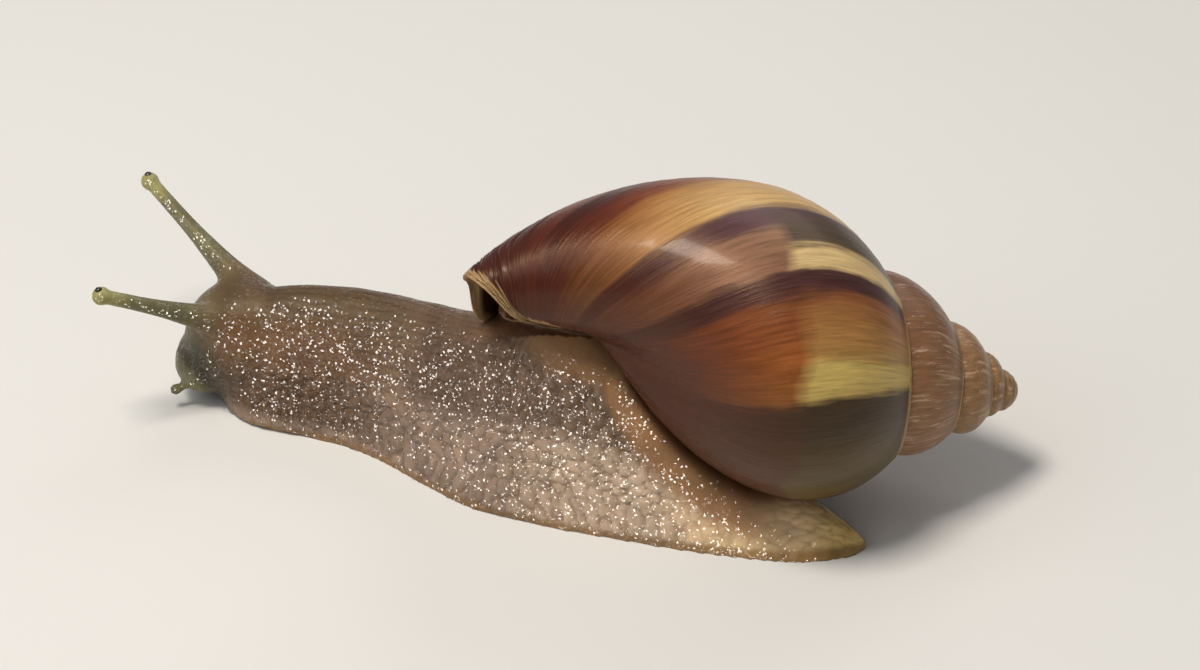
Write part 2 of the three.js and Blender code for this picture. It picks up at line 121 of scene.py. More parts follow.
softbox("key_lamp", -40, 72, 0.60, 0.16, 2.7, "#fff8ee")
softbox("broad_lamp", -50, 42, 0.80, 0.60, 1.5, "#f6f8ff")
softbox("back_lamp", 175, 40, 0.70, 0.40, 0.7, "#ffffff")

room = bpy.data.worlds.new("studio")
room.use_nodes = True
room.node_tree.nodes["Background"].inputs["Color"].default_value = linear("#eef1f5")
room.node_tree.nodes["Background"].inputs["Strength"].default_value = 0.22
bpy.context.scene.world = room
bpy.context.scene.view_settings.view_transform = "Standard"

floor_mesh = bpy.data.meshes.new("floor")
floor_mesh.from_pydata([(-2, -2, 0), (2, -2, 0), (2, 2, 0), (-2, 2, 0)], [], [(0, 1, 2, 3)])
floor = bpy.data.objects.new("floor", floor_mesh)
bpy.context.scene.collection.objects.link(floor)
paper, tree = new_material("pale_paper")
surface = add(tree, "ShaderNodeBsdfPrincipled", {"Base Color": linear("#e4e2dd"),
                                                 "Roughness": 0.85})
add(tree, "ShaderNodeOutputMaterial", {"Surface": surface.outputs[0]})
floor_mesh.materials.append(paper)


# ---- Shell ------------------------------------------------------------------------------------
# One coiled tube of lime with a glossy horny skin, grown by adding to its lip, so every colour
# streak and fine line runs along a former lip. Here it is one ribbon with an outer and an inner
# face that winds back from the lip to the apex.

SHELL_LENGTH = 65.0
APEX = np.array([49.6, 17.4, 12.0])
SHELL_YAW = math.radians(25)
SHELL_RISE = math.radians(13.5)
LIP_ANGLE = math.radians(-50)
WALL = 0.7
SHELL_TURNS = 5.6
RADIUS_RATIO = 1.78  # how many times narrower the whorl gets in a turn towards the apex
SPIRE_FROM, SPIRE_FULL = 1.6, 3  # turns back from the lip at which the spire swells out

shell_ahead = np.array([
    -math.cos(SHELL_RISE) * math.cos(SHELL_YAW),
    -math.cos(SHELL_RISE) * math.sin(SHELL_YAW),
    math.sin(SHELL_RISE),
])
shell_above = np.array([0, 0, 1]) - shell_ahead * shell_ahead[2]
shell_above /= np.linalg.norm(shell_above)
shell_right = np.cross(shell_ahead, shell_above)


def ramp(value, low, high):
    """0 below low to 1 above high, eased at both ends."""
    t = np.clip((value - low) / (high - low), 0, 1)
    return t * t * (3 - 2 * t)


def whorl_radius(n):
    """Radius n turns back from the lip: shrinks by the ratio each turn, draws in by 16 % towards
    the lip, and swells by 12 % in the spire."""
    drawn_in = 1 - 0.16 * np.exp(-n / 0.45)
    swollen = 1 + 0.12 * ramp(n, SPIRE_FROM, SPIRE_FULL)
    return 0.3815 * SHELL_LENGTH * RADIUS_RATIO ** -n * drawn_in * swollen


def widest_height(n):
    """Distance from the apex, along the axis, of the widest place of the whorl: shrinks 1.95
    times a turn, and lies 0.9 mm nearer the apex in the spire."""
    return 0.626 * SHELL_LENGTH * 1.95 ** -n - 0.9 * ramp(n, SPIRE_FROM, SPIRE_FULL)


def shoulder_span(n):
    """From the widest place back to where the whorl closes: halves every turn, and is 8 % shorter
    at the lip."""
    return 0.391 * SHELL_LENGTH * 2.0 ** -n * (1 - 0.08 * np.exp(-n ** 2))


def base_height(n):
    """Distance from the apex of the whorl's front end: level for 0.29 turns, then shrinking 1.9
    times a turn."""
    return 1.025 * SHELL_LENGTH * 1.9 ** (-0.03 * np.logaddexp(0, (n - 0.29) / 0.03))


def outline(n, h):
    """Distance from the axis at h: a quarter ellipse behind the widest place, and (1 - t^2) to a
    power ahead of it. The power is 0.8, and up to 2.6 round 0.6 turns behind the lip, where the
    front draws in to the columella."""
    behind = np.clip((widest_height(n) - h) / shoulder_span(n), 0, 1)
    before = np.clip((h - widest_height(n)) / (base_height(n) - widest_height(n)), 0, 1)
    power = 0.8 + 1.8 * np.exp(-((n - 0.6) / 0.13) ** 2)
    return whorl_radius(n) * np.where(
        h < widest_height(n), np.sqrt(1 - behind ** 2), (1 - before ** 2) ** power)


def suture_height(n):
    """Where whorl n comes out from under the next older one, by halving."""
    low = widest_height(n) - shoulder_span(n)
    high = widest_height(n)
    for _ in range(36):
        middle = (low + high) / 2
        hidden = outline(n, middle) < outline(n + 1, middle)
        low, high = np.where(hidden, middle, low), np.where(hidden, high, middle)
    return low


def old_course(w):
    """Turns that an old growth line lies behind its start, where w is 0 at the suture and 1 at
    the base: 0.16 w^2, and 0.54 w^16 where it turns in at the front."""
    return 0.16 * w ** 2 + 0.54 * w ** 16


def swept_back(w, g):
    """The same for growth line g. The lip, line 0, runs straight along the right side, draws back
    a little and crosses over the front of the mouth, mostly between w 0.935 and 0.985. Over the
    next lines, by exp(-(g / 0.2)^2), its course passes over into the old one."""
    crossing = 0.25 * ramp(w, 0.86, 0.955) + 0.75 * ramp(w, 0.935, 0.985)
    lip_course = 0.055 * w ** 2 + 0.565 * crossing
    youth = np.exp(-(np.clip(g, 0, None) / 0.2) ** 2)
    return old_course(w) * (1 - youth) + lip_course * youth


def on_shell(g, w, inset=0.0, lift=0.0):
    """Points on the whorl at growth line g and w across it, moved in by inset or out by lift, and
    never within 0.35 mm of the axis."""
    n = g + swept_back(w, g)
    start = suture_height(n)
    h = start + w * (base_height(n) - 1.5 * inset - start)
    radius = np.maximum(outline(n, h) - inset, 0.35) + lift
    angle = LIP_ANGLE + 2 * math.pi * n
    return (APEX + h[..., None] * shell_ahead + (radius * np.cos(angle))[..., None] * shell_right
            + (radius * np.sin(angle))[..., None] * shell_above)


def waves(position, lengths, seed):
    """Sum of sine waves of the given lengths with random phases, within about -1 to 1."""
    chance = np.random.default_rng(seed)
    total = sum(np.sin(2 * math.pi * position / length + chance.uniform(0, 2 * math.pi))
                for length in lengths)
    return total / math.sqrt(len(lengths))


def put_mesh(name, points, faces, material):
    """An object at the origin whose mesh holds these points (in mm) and four-cornered faces, in
    which a corner given twice makes a triangle."""
    mesh = bpy.data.meshes.new(name)
    faces = [tuple(dict.fromkeys(face)) for face in faces.tolist()]
    mesh.from_pydata((points * MM).tolist(), [], faces)
    mesh.validate()
    mesh.polygons.foreach_set("use_smooth", np.full(len(mesh.polygons), True))
    mesh.materials.append(material)
    made = bpy.data.objects.new(name, mesh)
    bpy.context.scene.collection.objects.link(made)
    return made


def ribbon_faces(rows, columns):
    """Faces of a tube of rows rings with columns points each."""
    i, j = np.meshgrid(np.arange(rows - 1), np.arange(columns), indexing="ij")
    k = (j + 1) % columns
    return np.stack([i * columns + j, (i + 1) * columns + j, (i + 1) * columns + k,
                     i * columns + k], -1).reshape(-1, 4)


# Growth lines close together behind the lip, and further apart, as the whorls shrink, to the apex;
# points across them close together where the lip crosses over the mouth.
lines = np.concatenate([
    np.linspace(0, 0.02, 12, endpoint=False),
    np.linspace(0.02, 0.20, 72, endpoint=False),
    np.linspace(0.20, 1.0, 130, endpoint=False),
    np.linspace(1.0, 2.2, 100, endpoint=False),
    np.linspace(2.2, SHELL_TURNS, 120),
])
across = np.concatenate([
    np.linspace(0, 0.05, 8, endpoint=False),
    np.linspace(0.05, 0.86, 44, endpoint=False),
    np.linspace(0.86, 0.992, 44, endpoint=False),
    np.linspace(0.992, 1, 5),
])
LIP_ROUNDING = 0.0034  # turns that the rounded lip reaches ahead of the first line
lip_lines = -LIP_ROUNDING * np.sin(np.radians([90, 60, 30]))
lip_thickness = np.cos(np.radians([90, 60, 30]))

g = np.concatenate([lip_lines, lines])[:, None]
share = np.concatenate([lip_thickness, np.ones(len(lines))])[:, None, None]
g, w = np.broadcast_arrays(g, across[None, :])
n = g + swept_back(w, g)
# Distance in mm from the lip along the widest line, whose radius at the lip is about 20 mm.
arc = 2 * math.pi * 20 / math.log(RADIUS_RATIO) * (1 - RADIUS_RATIO ** -g)
rim_wobble = 0.0022 * waves(w * 60, [4, 7, 11, 2.3], 3) * np.exp(-np.clip(g, 0, None) / 0.01)
# Wrinkles with sharp crests near the lip, strongest ahead of the widest place, and low waves along
# the whole shell.
crest = 1 - 2 * np.abs(waves(arc + 0.8 * waves(w * 40, [9, 17], 5), [1.9, 2.9, 4.3], 6))
wrinkled = (1 - ramp(g, 0.10, 0.24)) * ramp(w, 0.35, 0.75) * (1 - ramp(w, 0.965, 0.985))
low_wave = waves(arc + 0.6 * waves(w * 40, [9, 17], 15), [1.3, 2.3, 3.7], 16)
wave_height = (0.035 * np.clip(RADIUS_RATIO ** -g * 1.4, 0, 1) * np.clip(w / 0.03, 0, 1)
               * (1 - w ** 8))
seam_bead = 0.16 * np.exp(-(w / 0.012) ** 2) * (1 + 0.5 * waves(arc, [1.1, 0.7], 8)) * (g < 3.2)
lift = 0.19 * crest * wrinkled + low_wave * wave_height + seam_bead
wall = WALL * (1 + 0.5 * ramp(w, 0.86, 0.93))
middle = on_shell(g + rim_wobble, w, wall / 2, lift)
outer = middle + (on_shell(g + rim_wobble, w, 0.0, lift) - middle) * share
inner = middle + (on_shell(g + rim_wobble, w, wall) - middle) * share
# How far each point near the lip is from it, in mm.
lip_at = np.linspace(0, len(across) - 1, 300)
lip = np.stack([np.interp(lip_at, np.arange(len(across)), outer[len(lip_lines), :, k])
                for k in range(3)], -1)
from_lip = np.full(g.shape, 99.0)
young = int(np.searchsorted(lines, 0.5))
from_lip[:young] = np.linalg.norm(outer[:young, :, None] - lip, axis=3).min(2)
rings = np.concatenate([outer, inner[:, ::-1]], axis=1)
rows, columns = rings.shape[:2]
points = np.concatenate([rings.reshape(-1, 3), rings[-1].mean(0)[None]])
faces = ribbon_faces(rows, columns)
last = (rows - 1) * columns + np.arange(columns)
cap = np.stack([last, np.full(columns, rows * columns), np.full(columns, rows * columns),
                np.roll(last, -1)], -1)
faces = np.concatenate([faces, cap])

# The first whorls, grown in the egg, are a smooth ball on which the suture is a shallow groove.
EGG_WHORL_RADIUS = 2.5
tilt, turn = np.meshgrid(np.linspace(0.01, math.pi - 0.01, 60),
                         np.linspace(0, 2 * math.pi, 97)[:-1], indexing="ij")
ball_h = EGG_WHORL_RADIUS * (1 - np.cos(tilt)) - 0.9
ball_n = (turn - LIP_ANGLE) / (2 * math.pi) % 1
to_suture = np.min([np.abs(ball_h - suture_height(ball_n + k)) for k in (3, 4, 5)], axis=0)
ball_radius = EGG_WHORL_RADIUS * np.sin(tilt) * (1 - 0.05 * np.exp(-(to_suture / 0.15) ** 2))
ball = (APEX + ball_h[..., None] * shell_ahead
        + (ball_radius * np.cos(turn))[..., None] * shell_right
        + (ball_radius * np.sin(turn))[..., None] * shell_above)
ball_faces = ribbon_faces(*ball.shape[:2])
ends = np.arange(ball.shape[1])
ball_points = np.concatenate([ball.reshape(-1, 3), ball[0].mean(0)[None], ball[-1].mean(0)[None]])
ball_last = ball.size // 3 - len(ends) + ends
pole = np.full(len(ends), len(ball_points) - 2)
ball_faces = np.concatenate([
    ball_faces, np.stack([pole, pole, ends, np.roll(ends, -1)], -1),
    np.stack([ball_last, pole + 1, pole + 1, np.roll(ball_last, -1)], -1)])
ball_start = len(points)
points = np.concatenate([points, ball_points])
faces = np.concatenate([faces, ball_faces + ball_start])


def both_sides(outside, within=None):
    """A value for every point of the ribbon from those of its outer and its inner face."""
    within = outside if within is None else within
    values = np.concatenate([outside, within[:, ::-1]], axis=1).ravel()
    return np.append(values, values[-1])


def on_ball(values, pole_value):
    """A value for every point of the ball."""
    return np.append(values.ravel(), [pole_value, pole_value])


# What each point is: its streak (turns back along the old growth lines), its place across the
# whorl and its distance along it; whether it is inside; and how far it is behind the lip, in widths
# of the bare rim.
course = np.stack([
    np.append(both_sides(n - old_course(w)), on_ball(ball_n + 4, 4.5)),
    np.append(both_sides(w), on_ball(0.02 + 0.3 * to_suture, 0.3)),
    np.append(both_sides(arc), on_ball(30 + 2 * ball_n * math.pi, 31)),
], -1)
inside = np.append(both_sides((g < 0).astype(float), np.ones_like(g)), np.zeros(len(ball_points)))
# The bare rim is 0.5 mm wide along the right side and 1 mm across the front of the mouth.
behind_rim = np.append(both_sides(from_lip / (0.5 + 0.5 * ramp(w, 0.86, 0.93))),
                       np.full(len(ball_points), 99.0))

# Glossy horn over lime: a thin clear brown skin, polished by wear, streaked cream and
# mahogany. The streaks are strongest by the suture and run together towards the base.
horn, tree = new_material("horny_shell")
course_in = add(tree, "ShaderNodeAttribute", attribute_name="course")
inside_in = add(tree, "ShaderNodeAttribute", attribute_name="inside")
behind_in = add(tree, "ShaderNodeAttribute", attribute_name="behind_rim")
at = add(tree, "ShaderNodeSeparateXYZ", {0: course_in.outputs["Vector"]})
growth, over, run = at.outputs[0], at.outputs[1], at.outputs[2]
place = add(tree, "ShaderNodeTexCoord")
blotch = add(tree, "ShaderNodeTexNoise", {"Vector": place.outputs["Object"], "Scale": 110.0,
                                          "Detail": 3.0})
streak_at = add(tree, "ShaderNodeCombineXYZ", {0: run, 1: over})
frayed = add(tree, "ShaderNodeVectorMath", {0: streak_at.outputs[0], 1: (1.1, 4.0, 1.0)},
             operation="MULTIPLY")
fray = add(tree, "ShaderNodeTexNoise", {"Vector": frayed.outputs[0], "Scale": 1.0, "Detail": 4.0})
shift = add(tree, "ShaderNodeMath", {0: blotch.outputs[0], 1: 0.5}, operation="SUBTRACT")
shifted = add(tree, "ShaderNodeMath", {0: shift.outputs[0], 1: 0.022, 2: growth},
              operation="MULTIPLY_ADD")
fray_shift = add(tree, "ShaderNodeMath", {0: fray.outputs[0], 1: 0.5}, operation="SUBTRACT")
shifted = add(tree, "ShaderNodeMath", {0: fray_shift.outputs[0], 1: 0.028,
                                       2: shifted.outputs[0]}, operation="MULTIPLY_ADD")
young_streaks = [
    (0.000, "#54241b"), (0.060, "#4a1f17"), (0.110, "#5d2a1d"), (0.165, "#4a1f17"),
    (0.176, "#8f4a22"), (0.202, "#9c5423"), (0.212, "#4e1f16"), (0.234, "#4e1f16"),
    (0.242, "#74382a"), (0.274, "#8a4f32"), (0.286, "#b98a50"), (0.305, "#c9a066"),
    (0.345, "#d0ab70"), (0.357, "#54393f")]
old_streaks = [(0.438, "#472a2a"), (0.455, "#4a2a2a")]
# From about 0.57 turns both ramps turn dark: partly the shell's own dark streak, partly painted
# shade where the whorl turns away from the light. The olive-brown stops after it by the suture are
# partly a painted green reflection.
on_side = add(tree, "ShaderNodeValToRGB", {0: shifted.outputs[0]}, stops=(
    young_streaks + [(0.376, "#5d4044"), (0.388, "#8f6a52"), (0.430, "#8a624c")] + old_streaks
    + [(0.464, "#7c4426"), (0.500, "#8a4c28"), (0.520, "#985628"), (0.562, "#8c5426"),
       (0.572, "#38241a"), (0.602, "#3a2419"), (0.640, "#4a2c1b"), (0.710, "#4a2a1c"),
       (0.780, "#5f3826"), (0.900, "#7c5240")]))
by_suture = add(tree, "ShaderNodeValToRGB", {0: shifted.outputs[0]}, stops=(
    young_streaks + [(0.376, "#4a3a2c"), (0.402, "#4a3a28"), (0.411, "#d6b880"),
                     (0.431, "#d6b880")] + old_streaks
    + [(0.464, "#84502f"), (0.488, "#a3713f"), (0.520, "#ac8048"), (0.534, "#cfb468"),
       (0.560, "#c9ad63"), (0.570, "#37291a"), (0.602, "#33271a"), (0.640, "#4b3c20"),
       (0.700, "#584a24"), (0.780, "#5f4426"), (0.900, "#7c5240")]))
# The pale blotches by the suture stop short at a ragged edge along the whorl.
patchy = add(tree, "ShaderNodeMath", {0: shift.outputs[0], 1: 0.16, 2: over},
             operation="MULTIPLY_ADD")
off_suture = add(tree, "ShaderNodeMapRange", {0: patchy.outputs[0], 1: 0.325, 2: 0.365, 3: 0.0,
                                              4: 1.0})
streaks = add(tree, "ShaderNodeMix", {0: off_suture.outputs[0], 6: by_suture.outputs[0],
                                      7: on_side.outputs[0]}, data_type="RGBA")
whorls = add(tree, "ShaderNodeMath", {0: shifted.outputs[0], 1: 5.0}, operation="DIVIDE")
spire = add(tree, "ShaderNodeValToRGB", {0: whorls.outputs[0]}, stops=[
    (0.19, "#74503a"), (0.23, "#865f49"), (0.27, "#76523d"), (0.31, "#8e6849"), (0.38, "#86644a"),
    (0.47, "#94704f"), (0.60, "#93714e"), (0.80, "#91714c"), (1.00, "#8f704c")])
older = add(tree, "ShaderNodeMapRange", {0: growth, 1: 0.90, 2: 0.98, 3: 0.0, 4: 1.0})
banded = add(tree, "ShaderNodeMix", {0: older.outputs[0], 6: streaks.outputs[2],
                                     7: spire.outputs[0]}, data_type="RGBA")
# The streaks fade into even mahogany towards the base and are dimmed there: partly the shell's own
# darker base, partly painted shade on the underside of the whorl.
aged = add(tree, "ShaderNodeMapRange", {0: growth, 1: 0.44, 2: 0.52, 3: 0.0, 4: 0.22})
towards_base = add(tree, "ShaderNodeMath", {0: over, 1: aged.outputs[0]}, operation="ADD")
underside_shade = add(tree, "ShaderNodeMapRange", {0: towards_base.outputs[0], 1: 0.52, 2: 0.90, 3: 0.0,
                                        4: 0.92}, interpolation_type="SMOOTHSTEP")
base_shade_share = add(tree, "ShaderNodeMapRange", {0: over, 1: 0.42, 2: 0.72, 3: 0.0, 4: 1.0})
base_shade_tint = add(tree, "ShaderNodeMix", {0: base_shade_share.outputs[0], 6: (1, 1, 1, 1),
                                  7: (0.62, 0.40, 0.28, 1)}, data_type="RGBA")
stained = add(tree, "ShaderNodeVectorMath", {0: banded.outputs[2], 1: base_shade_tint.outputs[2]},
              operation="MULTIPLY")
mahogany = add(tree, "ShaderNodeMix", {0: underside_shade.outputs[0], 6: stained.outputs[0],
                                       7: linear("#451a12")}, data_type="RGBA")
# Fine lines of growth, about three to a millimetre, pale and dark.
line_at = add(tree, "ShaderNodeVectorMath", {0: streak_at.outputs[0], 1: (2.6, 7.0, 1.0)},
              operation="MULTIPLY")
line = add(tree, "ShaderNodeTexNoise", {"Vector": line_at.outputs[0], "Scale": 1.0, "Detail": 5.0,
                                        "Roughness": 0.6})
line_tone = add(tree, "ShaderNodeMapRange", {0: line.outputs[0], 1: 0.32, 2: 0.70, 3: 0.70,
                                             4: 1.25})
lined = add(tree, "ShaderNodeVectorMath", {0: mahogany.outputs[2], 1: line_tone.outputs[0]},
            operation="MULTIPLY")
# Suture: a thin chalky thread where each whorl is laid on the last.
thread = add(tree, "ShaderNodeMapRange", {0: over, 1: 0.005, 2: 0.014, 3: 0.85, 4: 0.0})
threaded = add(tree, "ShaderNodeMix", {0: thread.outputs[0], 6: lined.outputs[0],
                                       7: linear("#c4a878")}, data_type="RGBA")
# Scratches through the skin of the older whorls, short and pale, along the growth lines.
scratch_at = add(tree, "ShaderNodeVectorMath", {0: streak_at.outputs[0], 1: (1.5, 3.0, 1.0)},
                 operation="MULTIPLY")
scratch = add(tree, "ShaderNodeTexNoise", {"Vector": scratch_at.outputs[0], "Scale": 1.6,
                                           "Detail": 6.0, "Roughness": 0.75})
scratched = add(tree, "ShaderNodeMapRange", {0: scratch.outputs[0], 1: 0.55, 2: 0.61, 3: 0.0,
                                             4: 0.6})
scratched = add(tree, "ShaderNodeMath", {0: scratched.outputs[0], 1: older.outputs[0]},
                operation="MULTIPLY")
worn = add(tree, "ShaderNodeMix", {0: scratched.outputs[0], 6: threaded.outputs[2],
                                   7: linear("#d3b79a")}, data_type="RGBA")
# The rim is bare of horny skin and beige, inside and out; deeper in, the inside is painted dark
# brown as shade in the mouth.
ragged = add(tree, "ShaderNodeMath", {0: fray_shift.outputs[0], 1: 2.4,
                                      2: behind_in.outputs["Fac"]}, operation="MULTIPLY_ADD")
rim = add(tree, "ShaderNodeMapRange", {0: ragged.outputs[0], 1: 0.8, 2: 1.1, 3: 1.0, 4: 0.0})
rimmed = add(tree, "ShaderNodeMix", {0: rim.outputs[0], 6: worn.outputs[2],
                                     7: linear("#ab8a60")}, data_type="RGBA")
deep_in_shade = add(tree, "ShaderNodeMapRange", {0: behind_in.outputs["Fac"], 1: 0.3, 2: 1.6, 3: 0.0,
                                        4: 1.0})
lining_and_shade = add(tree, "ShaderNodeMix", {0: deep_in_shade.outputs[0], 6: linear("#9b7f5b"),
                                     7: linear("#3a2114")}, data_type="RGBA")
both_faces = add(tree, "ShaderNodeMix", {0: inside_in.outputs["Fac"], 6: rimmed.outputs[2],
                                         7: lining_and_shade.outputs[2]}, data_type="RGBA")
lines_high = add(tree, "ShaderNodeBump", {"Height": line.outputs[0], "Strength": 0.6,
                                          "Distance": 0.14 * MM})
gloss = add(tree, "ShaderNodeMapRange", {0: line.outputs[0], 1: 0.3, 2: 0.7, 3: 0.28, 4: 0.46})
surface = add(tree, "ShaderNodeBsdfPrincipled", {
    "Base Color": both_faces.outputs[2], "Roughness": gloss.outputs[0], "IOR": 1.45,
    "Specular Tint": (1.0, 0.66, 0.42, 1.0), "Coat Weight": 0.12, "Coat Roughness": 0.14,
    "Normal": lines_high.outputs[0]})
add(tree, "ShaderNodeOutputMaterial", {"Surface": surface.outputs[0]})

shell = put_mesh("shell_coil", points, faces, horn)
for name, kind, values in [("course", "FLOAT_VECTOR", course), ("inside", "FLOAT", inside),
                           ("behind_rim", "FLOAT", behind_rim)]:
    layer = shell.data.attributes.new(name, kind, "POINT")
    layer.data.foreach_set("vector" if kind == "FLOAT_VECTOR" else "value", values.ravel())
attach(shell, "root")
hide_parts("shell")


# ---- Skin -------------------------------------------------------------------------------------
# Foot, tail, neck, head, tentacles and mantle collar of the real animal are one unbroken wet skin
# over muscle. It is gathered into long folds on the neck and pebbles on the sides, which run out
# into upright folds above a smooth fringe along the sole.

# Each station: x, middle y, half-width of the sole, half-width of the back, height.
BODY_STATIONS = np.array([
    [-40, 2.0, 6.4, 5.0, 14.3],
    [-34, 2.9, 7.6, 6.2, 16.0],
    [-27, 3.9, 7.8, 7.0, 16.5],
    [-20, 3.6, 8.5, 7.3, 17.0],
    [-13, 2.0, 9.4, 7.7, 18.1],
    [-6, 0.6, 10.2, 8.0, 19.8],
    [2, 0.4, 10.2, 8.0, 22.5],
    [12, 0.6, 9.7, 7.6, 17.0],
    [21, 0.2, 8.4, 5.9, 8.4],
    [30, -0.4, 6.2, 3.6, 4.8],
    [38, -0.9, 3.6, 1.5, 2.4],
])
FOOT_FRONT, FOOT_REAR = -42.6, 38.5
HEAD_CENTRE = np.array([-39.4, 2.2, 7.9])
HEAD_YAW = math.radians(10)
UPPER_TENTACLES = {
    "left": (np.array([-39.6, -0.4, 11.6]), np.array([-51.2, -9.7, 19.0])),
    "right": (np.array([-39.4, 5.0, 11.8]), np.array([-55.6, 11.5, 20.8])),
}
BULB = 1.1
EYE_RADIUS = 0.5
EYE_SUNK = 0.7  # share of the eye's radius below the skin of the bulb
SKIN_VOXEL = 0.3  # mm, the spacing of the skin's points

head_ahead = np.array([-math.cos(HEAD_YAW), -math.sin(HEAD_YAW), 0])
head_right = np.array([-math.sin(HEAD_YAW), math.cos(HEAD_YAW), 0])
head_up = np.array([0, 0, 1])


def stations(x):
    """Middle, half-widths and height at x: cubic pieces whose slope at each station is that of its
    two neighbours, weighted by how near each is."""
    known, values = BODY_STATIONS[:, 0], BODY_STATIONS[:, 1:]
    gaps = np.diff(known)[:, None]
    rise = np.diff(values, axis=0) / gaps
    slope = np.concatenate([rise[:1], (rise[:-1] * gaps[1:] + rise[1:] * gaps[:-1])
                            / (gaps[1:] + gaps[:-1]), rise[-1:]])
    x = np.clip(x, known[0], known[-1])
    i = np.clip(np.searchsorted(known, x) - 1, 0, len(known) - 2)
    gap = (known[i + 1] - known[i])[..., None]
    t = (x[..., None] - known[i][..., None]) / gap
    return ((2 * t ** 3 - 3 * t ** 2 + 1) * values[i] + (t ** 3 - 2 * t ** 2 + t) * gap * slope[i]
            + (3 * t ** 2 - 2 * t ** 3) * values[i + 1] + (t ** 3 - t ** 2) * gap * slope[i + 1])


def end_taper(x, end, start, power):
    """1 up to start, then round down to 0 at the end of the foot."""
    return np.sqrt(np.clip(1 - np.clip((x - start) / (end - start), 0, 1) ** power, 0, 1))


def tube(rings):
    """Points and faces of a closed skin through rings of points, with its two ends drawn to a
    point in the middle of the first and the last ring."""
    rows, columns = rings.shape[:2]
    points = np.concatenate([rings.reshape(-1, 3), rings[0].mean(0)[None], rings[-1].mean(0)[None]])
    first = np.arange(columns)
    last = (rows - 1) * columns + first
    start, end = np.full(columns, rows * columns), np.full(columns, rows * columns + 1)
    caps = [np.stack([np.roll(first, -1), first, first, start], -1),
            np.stack([last, np.roll(last, -1), end, end], -1)]
    return points, np.concatenate([ribbon_faces(rows, columns)] + caps)


def trunk():
    """Foot, neck, back and tail: at each x a rounded back, height times sine to the power 0.85
    over a half-width that flares to the sole, closed by the flat sole."""
    ease = np.linspace(0, 1, 200)
    ease = 0.65 * ease + 0.35 * (1 - np.cos(np.pi * ease)) / 2
    x = FOOT_FRONT + (FOOT_REAR - FOOT_FRONT) * ease
    middle, sole, back, height = np.moveaxis(stations(x)[:, None, :], -1, 0)
    x = x[:, None]
    taper = end_taper(x, FOOT_FRONT, -35, 2.2) * end_taper(x, FOOT_REAR, 30, 2.4)
    angle = np.linspace(0, np.pi, 90)[None, :]
    flare = (sole - back) * (1 - np.sin(angle)) ** 3
    y = middle - (back + flare) * taper * np.cos(angle)
    z = height * np.sqrt(taper) * np.clip(np.sin(angle), 0, 1) ** 0.85
    over = np.stack([np.broadcast_to(x, y.shape), y, z], -1)
    share = np.linspace(0, 1, 26)[None, 1:-1, None]
    under = over[:, -1:] * (1 - share) + over[:, :1] * share
    return tube(np.concatenate([over, under], 1))


def egg(radii, offset):
    """Ellipsoid in the head's own directions: ahead, right and up."""
    turn, around = np.linspace(0.02, np.pi - 0.02, 40)[:, None], np.linspace(0, 2 * np.pi, 60)[:-1]
    ahead = radii[0] * np.cos(turn) + offset[0] + 0 * around
    right = radii[1] * np.sin(turn) * np.cos(around) + offset[1]
    up = radii[2] * np.sin(turn) * np.sin(around) + offset[2]
    return tube(HEAD_CENTRE + ahead[..., None] * head_ahead + right[..., None] * head_right
                + up[..., None] * head_up)


def stalk(root, tip, radius, flare, power, bulb, droop=0.0):
    """Tentacle: a tube from root to tip whose radius is radius + flare (1 - t)^power, ending in a
    round bulb, and whose middle line sags by droop."""
    length = np.linalg.norm(tip - root)
    along = (tip - root) / length
    side = np.cross(along, [0, 0, 1])
    side /= np.linalg.norm(side)
    rise = np.cross(side, along)
    t = np.linspace(0, 1, 40)
    end = length - 0.75 * bulb
    polar = np.linspace(-0.22 * np.pi, 0.49 * np.pi, 16)
    distance = np.concatenate([t * end, length + bulb * np.sin(polar)])
    radii = np.concatenate([radius + flare * (1 - t) ** power, bulb * np.cos(polar)])
    angle = np.linspace(0, 2 * np.pi, 33)[:-1]
    middle = (root + distance[:, None] * along
              - droop * np.sin(np.pi * np.clip(distance / length, 0, 1))[:, None] * rise)
    ring = np.cos(angle)[:, None] * side + np.sin(angle)[:, None] * rise
    return tube(middle[:, None] + radii[:, None, None] * ring[None])


def collar():
    """Mantle collar: fills the mouth from a little inside the lip, between the wall and the
    axis."""
    g = np.linspace(0.016, 0.09, 12)[:, None]
    w = np.linspace(0, 0.83, 60)[None, :]
    g, w = np.broadcast_arrays(g, w)
    skin = on_shell(g, w, WALL + 0.15)
    n = g + swept_back(w, g)
    h = suture_height(n) + w * (base_height(n) - suture_height(n))
    core = APEX + h[..., None] * shell_ahead
    return tube(np.concatenate([skin, (core + 0.02 * (skin - core))[:, ::-1]], 1))


def head_point(ahead, right, up):
    """A place measured in mm from the middle of the head, in its own directions."""
    return HEAD_CENTRE + ahead * head_ahead + right * head_right + up * head_up


lower_tentacles = [(head_point(3.4, side * 3.4, -3.3), head_point(7.7, side * 4.8, -5.2))
                   for side in (-1, 1)]
lumps = [trunk(), egg([7.4, 6.2, 7.6], [0, 0, 0]), egg([4.2, 5.3, 4.2], [4.6, 0, -3.2]), collar()]
lumps += [stalk(root, tip, 0.86, 2.1, 3, BULB) for root, tip in UPPER_TENTACLES.values()]
lumps += [stalk(root, tip, 0.5, 0.6, 3, 0.68) for root, tip in lower_tentacles]

